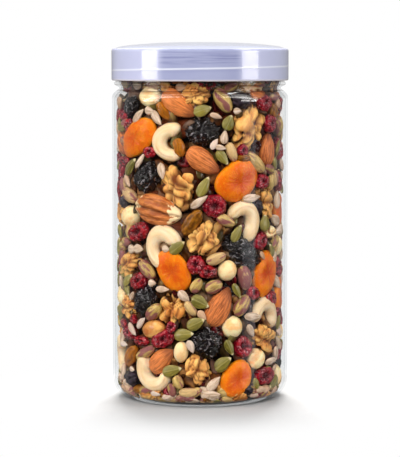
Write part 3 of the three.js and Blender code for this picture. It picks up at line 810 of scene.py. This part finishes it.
# ---- where the pieces lie ----
layers = {
    # lean: times the kind's own. back: how far behind the wall, and how much luck adds. dark: how far
    # in the painted shade of the gaps begins, and over how much it grows full. size: which of the
    # kind's sizes.
    # A pair that luck draws from is its low end and its span.
    "wall": {
        "lean": 1, "back": (0, 0.5), "dark": (2.5, 7), "size": "size",
        "sideTries": 500, "sideSpread": 30, "sideHeight": (11, 147), "sideApart": 0.4, "sides": [
            "walnut", "almond", "cranberry", "hazelnut", "prune", "cashew", "cranberry", "apricot",
            "raisin",
        ],
        "fill": 150, "fillTries": 9000, "fillAngle": (60, 240), "fillHeight": (5, 152),
        "fillLength": (9, 3), "fillWidth": 5.5, "fillApart": 0.2, "filling": [
            "pumpkinSeed", "sunflowerSeed", "pistachio", "sunflowerSeed", "cranberry",
        ],
    },
    "near": {
        "lean": 2, "back": (2.6, 2), "dark": (0.3, 3.6), "size": "sizeNear",
        "count": 460, "start": 60, "low": 4, "tall": 153, "kinds": [
            "sunflowerSeed", "pumpkinSeed", "pistachio", "cranberry", "raisin", "walnut", "pistachio",
            "walnut",
        ],
    },
    "deep": {
        "lean": 3, "back": (inside - heap["gap"] - heap["deepRadius"], 1.5), "dark": (0.3, 3.6),
        "size": "size", "count": 430, "start": 0, "low": 5, "tall": 152, "kinds": [
            "walnut", "almond", "sunflowerSeed", "pumpkinSeed", "cranberry", "hazelnut", "raisin",
            "pistachio", "cashew", "sunflowerSeed", "prune", "pistachio", "walnut", "pumpkinSeed",
        ],
    },
    "rim": {
        "lean": 2, "back": (1.2, 0.6), "dark": (2, 5), "size": "sizeRim", "ringSpread": 1.5,
        "ringTurn": 60, "rings": ((168, 28), (164.5, 30), (8, 30), (5, 34), (2.8, 36)),
        "kinds": [
            "walnut", "pistachio", "raisin", "sunflowerSeed", "pumpkinSeed", "cranberry", "pistachio",
            "sunflowerSeed",
        ],
    },
    "top": {"lean": 2, "dark": (99, 1), "size": "size"},
    "base": {"lean": 2, "dark": (0.3, 3.6), "size": "size"},
}
for where in ("top", "base"):
    layers[where].update(count=60, kinds=[
        "walnut", "raisin", "cranberry", "hazelnut", "sunflowerSeed", "prune", "cashew", "pumpkinSeed",
        "cranberry", "walnut", "raisin", "pistachio",
    ])
goldenDegrees, goldenRadians = 137.508, 2.39996


class Luck:
    # The same even random numbers as the CAD part draws
    def __init__(self, seed):
        self.state = seed

    def even(self):
        self.state = self.state * 16807 % 2147483647
        return self.state / 2147483647

    def span(self, low, more):
        return low + more * self.even()

    def about(self, spread):
        return spread * (self.even() - 0.5)

    def turn(self):
        return 360 * self.even()

    def pick(self, names):
        return names[int(len(names) * self.even())]


def backOf(rows, luck):
    # The same rows turned over end for end onto the back, with small random changes
    moved, size, turned = heap["backMoved"], heap["backSize"], heap["backTurned"]
    return [(
        180 - angle + luck.about(moved), 2 * heap["back"] - height + luck.about(moved),
        length * luck.span(*size), width * luck.span(*size), 180 - turn + luck.about(turned),
    ) for angle, height, length, width, turn in rows]


def frontAndBack(name, places, luck):
    # Lays every kind's rows of that name at the front, and again on the back; returns them all
    laid = []
    for kind, (its, *rest) in kinds.items():
        rows = its.get(name, [])
        both = rows + backOf(rows, luck)
        places[kind]["wall"] += both
        laid += both
    return laid


def sizeOf(kind, layer):
    return kinds[kind][0][layer["size"]]


def apart(one, other):
    # Distance between two rows' middles on the unrolled wall
    turn = abs((one[0] - other[0] + 540) % 360 - 180)
    return np.hypot(np.radians(turn) * jar["outside"], one[1] - other[1])


def sidePlaces(layer, taken, luck):
    # Larger pieces in the strips between front and back, each dropped where it keeps off the others
    for _ in range(layer["sideTries"]):
        kind = luck.pick(layer["sides"])
        side = -90 if luck.even() < 0.5 else 90
        place = (side + luck.about(layer["sideSpread"]), luck.span(*layer["sideHeight"]))
        row = (*place, *sizeOf(kind, layer), luck.turn())
        if all(apart(other, row) > layer["sideApart"] * (row[2] + other[2]) for other in taken):
            taken.append(row)
            yield kind, row


def fillPlaces(layer, taken, luck):
    # Small pieces for the gaps that are left round the sides and back
    found = 0
    for _ in range(layer["fillTries"]):
        if found == layer["fill"]:
            break
        kind = luck.pick(layer["filling"])
        place = (luck.span(*layer["fillAngle"]), luck.span(*layer["fillHeight"]))
        row = (*place, luck.span(*layer["fillLength"]), layer["fillWidth"], luck.turn())
        share = layer["fillApart"]
        if all(apart(other, row) > share * (row[2] + other[2] + other[3]) for other in taken):
            taken.append(row)
            found += 1
            yield kind, row


def spiralPlaces(layer, luck):
    # A layer behind the wall: a spiral of golden-angle steps, so it is evenly spread
    for i in range(layer["count"]):
        kind = luck.pick(layer["kinds"])
        height = layer["low"] + layer["tall"] * (i + 0.5) / layer["count"]
        angle = i * goldenDegrees + layer["start"]
        yield kind, (angle, height, *sizeOf(kind, layer), luck.turn())


def rimPlaces(layer, luck):
    # Small pieces in close rings under the lid and round the heel: a ring's height, and how many
    for height, count in layer["rings"]:
        for i in range(count):
            kind = luck.pick(layer["kinds"])
            place = (360 * (i + luck.even()) / count, height + luck.about(layer["ringSpread"]))
            yield kind, (*place, *sizeOf(kind, layer), luck.about(layer["ringTurn"]))


def endPlaces(layer, luck):
    # Pieces on a round end of the heap, spread over the disc by the golden angle
    for i in range(layer["count"]):
        kind = luck.pick(layer["kinds"])
        out = heap["topRadius"] * np.sqrt((i + 0.5) / layer["count"])
        place = (out * np.cos(i * goldenRadians), out * np.sin(i * goldenRadians))
        yield kind, (*place, *sizeOf(kind, layer), luck.turn())


def gatherPlaces():
    # Every piece's row, by kind and by layer
    places = {kind: {where: [] for where in layers} for kind in kinds}
    wall, luck = layers["wall"], Luck(heap["largeSeed"])
    taken = frontAndBack("large", places, luck)
    found = list(sidePlaces(wall, taken, luck))
    luck = Luck(heap["smallSeed"])
    taken += frontAndBack("small", places, luck)
    for kind, row in found + list(fillPlaces(wall, taken, luck)):
        places[kind]["wall"].append(row)
    for where, way in (("near", spiralPlaces), ("deep", spiralPlaces), ("rim", rimPlaces),
                       ("top", endPlaces), ("base", endPlaces)):
        for kind, row in way(layers[where], luck):
            places[kind][where].append(row)
    return places


def insideAt(height):
    # The jar's inner radius at each height, a straight line between the named rings
    wall, shoulder, groove = jar["wall"], jar["shoulder"], jar["groove"] - jar["wall"]
    rings = [
        (wall, jar["restOuter"] - 2), *jar["heelInside"], (jar["heel"], inside), (shoulder - 1, inside),
        (shoulder + 2.4, inside - jar["shoulderStep"]), (jar["grooveHeight"] - 0.9, groove),
        (jar["grooveHeight"] + 0.4, groove), (jar["beadHeight"], jar["neck"] - wall),
    ]
    return np.interp(height, *zip(*rings))


def noFurther(value, limit, soft=0.3):
    # A smooth minimum: the value, held below the limit by soft * log(1 + e^(excess / soft))
    return value - soft * np.logaddexp(0, (value - limit) / soft)


def turnedBy(points, degrees, first, second):
    # Turns every piece's points in one plane by that piece's own angle
    c, s = np.cos(np.radians(degrees))[:, None], np.sin(np.radians(degrees))[:, None]
    out = points.copy()
    out[..., first] = c * points[..., first] - s * points[..., second]
    out[..., second] = s * points[..., first] + c * points[..., second]
    return out


def tilted(points, rows, lean):
    # Turned on the face by the row's own turn, then leant two ways
    points = turnedBy(points, rows[:, 4], 0, 1)
    return turnedBy(turnedBy(points, lean[:, 0], 0, 2), lean[:, 1], 1, 2)


def onWall(points, rows, thick, back):
    # Round the wall: angle = place + x / R, radius = wall - thickness / 2 + z, height = place + y
    around = np.radians(rows[:, :1]) + points[..., 0] / inside
    height = rows[:, 1:2] + points[..., 1]
    height = -noFurther(-height, -(jar["wall"] + heap["gap"] + 0.3))
    middle = inside - heap["gap"] - thick[:, None] / 2 - back[:, None]
    out = noFurther(middle + points[..., 2], insideAt(height) - heap["gap"])
    return np.stack([out * np.sin(around), -out * np.cos(around), height], -1)


def onEnd(points, rows, thick, top):
    # Flat on the heap's top, or face down on the jar's floor
    if not top:
        points = points * [1, -1, -1]
    rise = thick / 2 + (heap["top"] - 1.5 if top else jar["wall"] + heap["gap"] + jar["pushUp"])
    points = points + np.stack([rows[:, 0], rows[:, 1], rise], -1)[:, None]
    reach = np.hypot(points[..., 0], points[..., 1])
    held = noFurther(reach, insideAt(points[..., 2]) - heap["gap"]) / np.maximum(reach, 1e-6)
    return points * np.stack([held, held, np.ones_like(held)], -1)


def layPieces(where, rows, its, form, random):
    # One kind's pieces in one layer: their points, a piece's triangles, and what the finish reads
    layer = layers[where]
    grid = "grid" if where == "wall" else "gridBehind"
    ball, faces, t = ballGrid(*heap["hiddenGrid"] if where in ("deep", "top") else its[grid])
    luck = random.random((len(rows), 6, 1))
    shape, crease = form(ball[None], t[None], luck)
    none = np.zeros(shape.shape[:2])
    thick = rows[:, its.get("thickOf", 3)] * its["thick"]
    half = np.stack([rows[:, 2], rows[:, 3], thick], -1)[:, None] / 2
    points = tilted(shape * half, rows, layer["lean"] * its["lean"] * (2 * luck[:, 3:5, 0] - 1))
    if where in ("top", "base"):
        points = onEnd(points, rows, thick, where == "top")
    else:
        back = layer["back"][0] + layer["back"][1] * luck[:, 5, 0]
        points = onWall(points, rows, thick, back - thick / 2 if where == "deep" else back)
    # how far in each point lies sets the painted shade that darkens it towards the gaps
    begins, fades = layer["dark"]
    reach = np.hypot(points[..., 0], points[..., 1])
    depth = np.clip((inside - heap["gap"] - begins - reach) / fades, 0, heap["mostTint"])
    own = np.stack([t, *aroundUnit(ball)], -1)[None] * half
    return points, faces, {
        "skin": own + 300 * luck[:, 0:1] * [1, 0.7, 0.4], "unit": ball[None] + 0 * points,
        "crease": crease + none, "tint": luck[:, 1] + none, "shade": luck[:, 2] + none, "depth": depth,
    }


def makeKind(kind, places, seed):
    # All pieces of a kind as one mesh
    its, form, *masks = kinds[kind]
    random = np.random.default_rng(seed)
    allPoints, allFaces, attributes, start = [], [], {}, 0
    for where, rows in places.items():
        if not rows:
            continue
        points, faces, extra = layPieces(where, np.array(rows, float), its, form, random)
        count, each = points.shape[:2]
        allFaces.append((faces[None] + start + each * np.arange(count)[:, None, None]).reshape(-1, 3))
        allPoints.append(points.reshape(-1, 3))
        start += count * each
        for key, values in extra.items():
            flat = values.reshape(-1, 3) if values.ndim == 3 else values.ravel()
            attributes.setdefault(key, []).append(flat)
    attributes = {key: np.concatenate(values) for key, values in attributes.items()}
    points, faces = np.concatenate(allPoints), np.concatenate(allFaces)
    return addPiece(kind + "s", points, faces, foodFinish(its, *masks), attributes)


# the heap's middle fills the hidden inside; its near-black colour is painted shade for the deep gaps
core = {
    "radius": 33, "low": 6, "grid": (96, 60), "finish": "darkMiddle", "rough": 0.8,
    "grains": {"lumps": (160, 3)}, "bump": ("lumps", 2, 0.8),
    "colour": (30, 16, 8), "coats": [("lumps", 1, (96, 56, 26), 0.4, 0.65)],
}


def makeCore():
    # The hidden middle of the heap, painted near black as the shade deep among the pieces, a ball
    # stretched to a can: its radius falls by (1 - t^2)^0.15
    ball, faces, t = ballGrid(*core["grid"])
    across, other = aroundUnit(ball)
    wide = core["radius"] * np.sqrt(np.clip(1 - t ** 2, 0, 1)) ** 0.3
    wide = wide + 1.2 * swirl(ball * [3, 1, 1], 6, np.zeros(1))
    low, high = core["low"], heap["top"] - 1
    points = np.stack([wide * across, wide * other, low + (high - low) * (t + 1) / 2], -1)
    faces = outward(points - points.mean(0), faces)
    return addPiece("heapCore", points, faces, foodFinish(core), {"skin": points})


# ---- the jar and its lid ----
thread = {"pitch": 5, "front": 172.9, "tall": 0.95, "halfWidth": 0.8, "split": 0.35}


def roundedLine(corners, arcSteps=5):
    # A profile of (radius, height, rounding) corners, each rounded corner swapped for a short arc drawn
    # as a quadratic curve between the points that lie that far along its two sides
    points = []
    for i, (r, z, soft) in enumerate(corners):
        here = np.array([r, z], float)
        if soft == 0 or i in (0, len(corners) - 1):
            points.append(here)
            continue
        before, after = np.array(corners[i - 1][:2], float), np.array(corners[i + 1][:2], float)
        a = here + (before - here) * min(soft / np.linalg.norm(before - here), 0.5)
        b = here + (after - here) * min(soft / np.linalg.norm(after - here), 0.5)
        s = np.linspace(0, 1, arcSteps + 1)[:, None]
        points += list((1 - s) ** 2 * a + 2 * s * (1 - s) * here + s ** 2 * b)
    return np.array(points)


def supported(line, near=0.5):
    # Adds a point near each end of every long stretch, so that the shading turns only at the corners
    points = [line[0]]
    for a, b in zip(line[:-1], line[1:]):
        size = np.linalg.norm(b - a)
        if size > 4 * near:
            points += [a + (b - a) * near / size, b - (b - a) * near / size]
        points.append(b)
    return np.array(points)


def splitLine(line, low, high, pitch):
    # Adds points a pitch apart on the upright stretches between two heights, where the thread runs
    points = [line[0]]
    for a, b in zip(line[:-1], line[1:]):
        upright = abs(a[0] - b[0]) < 1e-6 and abs(a[1] - b[1]) > pitch and min(a[1], b[1]) >= low - 1
        steps = int(np.ceil(abs(b[1] - a[1]) / pitch)) if upright and max(a[1], b[1]) <= high + 1 else 1
        points += [a + (b - a) * (k + 1) / steps for k in range(steps)]
    return np.array(points)


def latheOf(line, around):
    # Turns a profile that begins and ends on the axis: point = (r sin u, -r cos u, z), poles once each
    u = np.arange(around) * 2 * np.pi / around
    ring = line[1:-1]
    r, z = ring[:, :1], ring[:, 1:2] + 0 * u
    points = np.stack([r * np.sin(u), -r * np.cos(u), z], -1).reshape(-1, 3)
    points = np.concatenate([[[0, 0, line[0][1]]], points, [[0, 0, line[-1][1]]]])
    return points, outward(points, ringFaces(len(ring), around))


def threaded(points, radius, direction, its, shift):
    # Pushes a wall's points out (or in) where a helix passes, by tall * e^-((z - helix) / halfWidth)^2,
    # with helix = front + pitch * angle / 360, fading out at its two ends
    reach = np.hypot(points[:, 0], points[:, 1])
    angle = np.degrees(np.arctan2(points[:, 0], -points[:, 1]))
    low, high = its["threadFrom"], its["threadTo"]
    depth = np.zeros(len(points))
    for turn in (-1, 0, 1):
        where = angle + 360 * turn
        helix = thread["front"] + shift + thread["pitch"] * where / 360
        fade = np.clip((helix - low) / 1.0, 0, 1) * np.clip((high - helix) / 1.0, 0, 1)
        depth += fade * np.exp(-((points[:, 2] - helix) / thread["halfWidth"]) ** 2)
    on = np.abs(reach - radius) < 0.05
    grown = np.where(on, 1 + direction * thread["tall"] * depth / np.maximum(reach, 1), 1)
    return points * np.stack([grown, grown, np.ones_like(grown)], -1)


def turned(corners, its, radius, direction, low, high, shift=0):
    # Lathes a profile, with the thread raised or cut on its wall of that radius
    line = splitLine(supported(roundedLine(corners)), low, high, thread["split"])
    points, faces = latheOf(line, jar["around"])
    return threaded(points, radius, direction, its, shift), faces


def clearPlastic():
    # Mostly see-through, with a mirrored share that follows the angle, and greyer where seen edge on
    paint = Finish("clearPlastic")
    places = paint.node("TexCoord", output="Object")
    bump = paint.bump(paint.noise(places, 26, 2), 0.25, 0.25)
    edge = paint.node("LayerWeight", {}, {"Blend": 0.5}, "Facing")
    mirror = 0.5 * paint.node("Fresnel", {}, {"IOR": jar["bend"], "Normal": bump})
    z = paint.part(places, "Z") * (1 / mm)
    # painted dark lines round the neck, for the shade where its rings bend the light
    lines = 0.0
    for height, half in jar["lines"]:
        lines = lines + ((z - height) / half).bell()
    neck = paint.step(z, jar["shoulder"] - 1, jar["shoulder"] + 1)
    clear, grey, dark = [
        paint.node("BsdfTransparent", {}, {"Color": jar[name]}) for name in ("clear", "edgeOn", "line")]
    rough = jar["rough"] + jar["neckRough"] * neck
    shine = paint.node("BsdfGlossy", {}, {"Color": (1, 1, 1, 1), "Roughness": rough, "Normal": bump})
    seen = paint.node("MixShader", {}, {0: edge ** jar["edgePower"], 1: clear, 2: grey})
    seen = paint.node("MixShader", {}, {0: (jar["lineDark"] * lines).clamped(), 1: seen, 2: dark})
    share = mirror.maths("MINIMUM", mirror, jar["mostMirror"]) * (1 + jar["neckMirror"] * neck)
    return paint.end(paint.node("MixShader", {}, {0: share, 1: seen, 2: shine}))


def makeJar():
    # The outside from the middle of the base up to the neck's rim, then the inside down again
    outer, wall, rest, heel = jar["outside"], jar["wall"], jar["restOuter"], jar["heel"]
    shoulder, step, ring = jar["shoulder"], jar["shoulderStep"], jar["restInner"]
    groove, grooveAt, beadAt = jar["groove"], jar["grooveHeight"], jar["beadHeight"]
    neck, neckTop, pushUp = jar["neck"], jar["neckTop"], jar["pushUp"]

    def arc(radius, degrees):
        return [(rest + radius * np.sin(a), heel - radius * np.cos(a), 0) for a in np.radians(degrees)]

    outside = [
        (0, pushUp, 0), (ring - 5, pushUp, 3), (ring, 0, 1.2), (rest, 0, 0),
        *arc(heel, np.arange(11.25, 90, 11.25)),
        (outer, heel, 0), (outer, shoulder + 1.5, 2.2), (outer - step, shoulder + 3.4, 1),
        (groove, grooveAt - 0.4, 0.9), (groove, grooveAt + 0.4, 0.7), (jar["bead"], beadAt - 0.7, 0.6),
        (jar["bead"], beadAt + 0.4, 0.5), (neck, beadAt + 1.4, 0.6), (neck, neckTop, 0.3),
    ]
    within = [
        (neck - wall, neckTop, 0.3), (neck - wall, beadAt, 0.6), (groove - wall, grooveAt + 0.4, 0.7),
        (groove - wall, grooveAt - 0.8, 0.9), (outer - step - wall, shoulder + 2.4, 1),
        (outer - wall, shoulder + 0.5, 1.5), (outer - wall, heel, 0),
        *arc(heel - wall, np.arange(78.75, 5, -11.25)),
        (rest, wall, 0), (ring, wall, 1.2), (ring - 5, wall + pushUp, 3), (0, wall + pushUp, 0),
    ]
    points, faces = turned(outside + within, jar, neck, 1, beadAt, neckTop)
    piece = addPiece("jarClear", points, faces, clearPlastic())
    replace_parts(piece, "jar")


lid = {
    "outside": 46.3, "wall": 1.3, "bottom": 166.5, "top": 186.4, "dome": 41, "drop": 2.1, "edge": 1.5,
    "threadFrom": 168.1, "threadTo": 175.9, "lineHalf": 0.42, "shadeBelow": 1.1, "shadeHalf": 0.7,
    "streaksOver": (174.5, 176), "streaksUnder": (180.5, 182.5), "paleSheenFrom": (0.062, 0.085),
    "rimGlowUnder": (166.7, 167.7), "rough": 0.16, "coat": 0.6, "milk": 0.8,
    "colour": (154, 160, 198), "coats": [
        # streak is painted shade from the neck's thread behind the skirt; beside is a painted sheen,
        # paler away from the front
        ("cloud", 1, (176, 182, 214)), ("streak", 0.8, (128, 132, 178)),
        ("shade", 0.25, (140, 146, 190)), ("beside", 1, (202, 206, 236)),
        # line is a painted highlight along the thread; height paints the dome darker and greyer, a
        # painted shade that holds back the strong light from above
        ("line", 0.9, (236, 240, 254)), ("height", 1, (146, 151, 170), 182.7, 183.7),
        # painted light: the bottom rim warm and bright, as if lit through its own thickness by the
        # heap's colour
        ("foot", 0.8, (246, 238, 240)),
    ],
}


def lavenderPlastic():
    # The thread shows through the skirt as a painted highlight, a bright line: it lies where z = front
    # + pitch * turns.
    # Above it run fine dark streaks of painted shade from the neck's thread behind, a noise drawn out
    # round the lid. Away from the front it is paler, a painted sheen.
    paint = Finish("lavenderPlastic")
    places = paint.node("TexCoord", output="Object")
    x, y, z = [paint.part(places, axis) for axis in "XYZ"]
    z = z * (1 / mm)
    turns = x.maths("ARCTAN2", x, -1 * y) * (0.5 / np.pi)
    off = z - (thread["front"] + thread["pitch"] * turns)
    line = (off / lid["lineHalf"]).bell()
    around = paint.node("CombineXYZ", {}, {0: turns * 8, 1: 0.0, 2: z * 1.5})
    streak = paint.step(paint.noise(around, 1.0, 4, 0.65), 0.46, 0.62)
    middle = paint.step(z, *lid["streaksOver"]) * (1 - paint.step(z, *lid["streaksUnder"]))
    beside = paint.step(turns.size(), *lid["paleSheenFrom"])
    edge = paint.node("LayerWeight", {}, {"Blend": 0.5}, "Facing")
    cloud = paint.noise(places, 60, 3)
    colour = paint.coats(lid["colour"], lid["coats"], {
        "cloud": cloud, "streak": streak * middle * (1 - beside), "line": line, "height": z,
        "shade": ((off + lid["shadeBelow"]) / lid["shadeHalf"]).bell(),
        "beside": beside * (0.6 + 0.4 * cloud), "foot": 1 - paint.step(z, *lid["rimGlowUnder"]),
    })
    return paint.end(paint.node("BsdfPrincipled", {}, {
        "Base Color": colour, "Roughness": lid["rough"], "Specular IOR Level": 0.5,
        "Coat Weight": lid["coat"], "Coat Roughness": 0.04,
        "Normal": paint.bump(0.5 * line + 0.3 * cloud, 0.3, 0.4),
        "Alpha": (lid["milk"] + (1 - lid["milk"]) * edge).clamped(),
    }))


def makeLid():
    # The top falls by drop * (r / dome)^2.6; the inside follows it a wall below
    out, wall, bottom, top, edge = [lid[name] for name in ("outside", "wall", "bottom", "top", "edge")]
    edgeTop = top - lid["drop"] - 1.2
    domeAt = np.linspace(0, lid["dome"], 9)
    fall = lid["drop"] * (domeAt / lid["dome"]) ** 2.6
    corners = [
        *[(r, top - wall - f, 0) for r, f in zip(domeAt, fall)],
        (out - wall, edgeTop - wall, 1), (out - wall, bottom + 0.4, 0.4), (out - wall + 0.4, bottom, 0),
        (out - 0.4, bottom, 0.3), (out, bottom + 0.5, 0.4), (out, edgeTop - 0.2, edge),
        (out - edge, edgeTop + 0.1, 0.8),
        *[(r, top - f, 0) for r, f in zip(domeAt[::-1], fall[::-1])],
    ]
    points, faces = turned(corners, lid, out - wall, -1, bottom, top, -thread["pitch"] / 2)
    piece = addPiece("lidLavender", points, faces, lavenderPlastic())
    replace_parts(piece, "lid")


placeCamera()
lightRoom()
layFloor()
print("stage: camera, lights and floor are set")

makeJar()
makeLid()
print("jar and lid are made")

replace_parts(makeCore(), "nut_mix")
print("heap's core is made")
allPlaces = gatherPlaces()
for number, kind in enumerate(kinds):
    piece = makeKind(kind, allPlaces[kind], heap["shapeSeed"] + number)
    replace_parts(piece, "nut_mix")
    count = sum(len(rows) for rows in allPlaces[kind].values())
    print(kind, count, "pieces,", len(piece.data.polygons), "triangles")

bpy.context.scene.view_settings.view_transform = "Standard"
bpy.context.scene.render.film_transparent = False
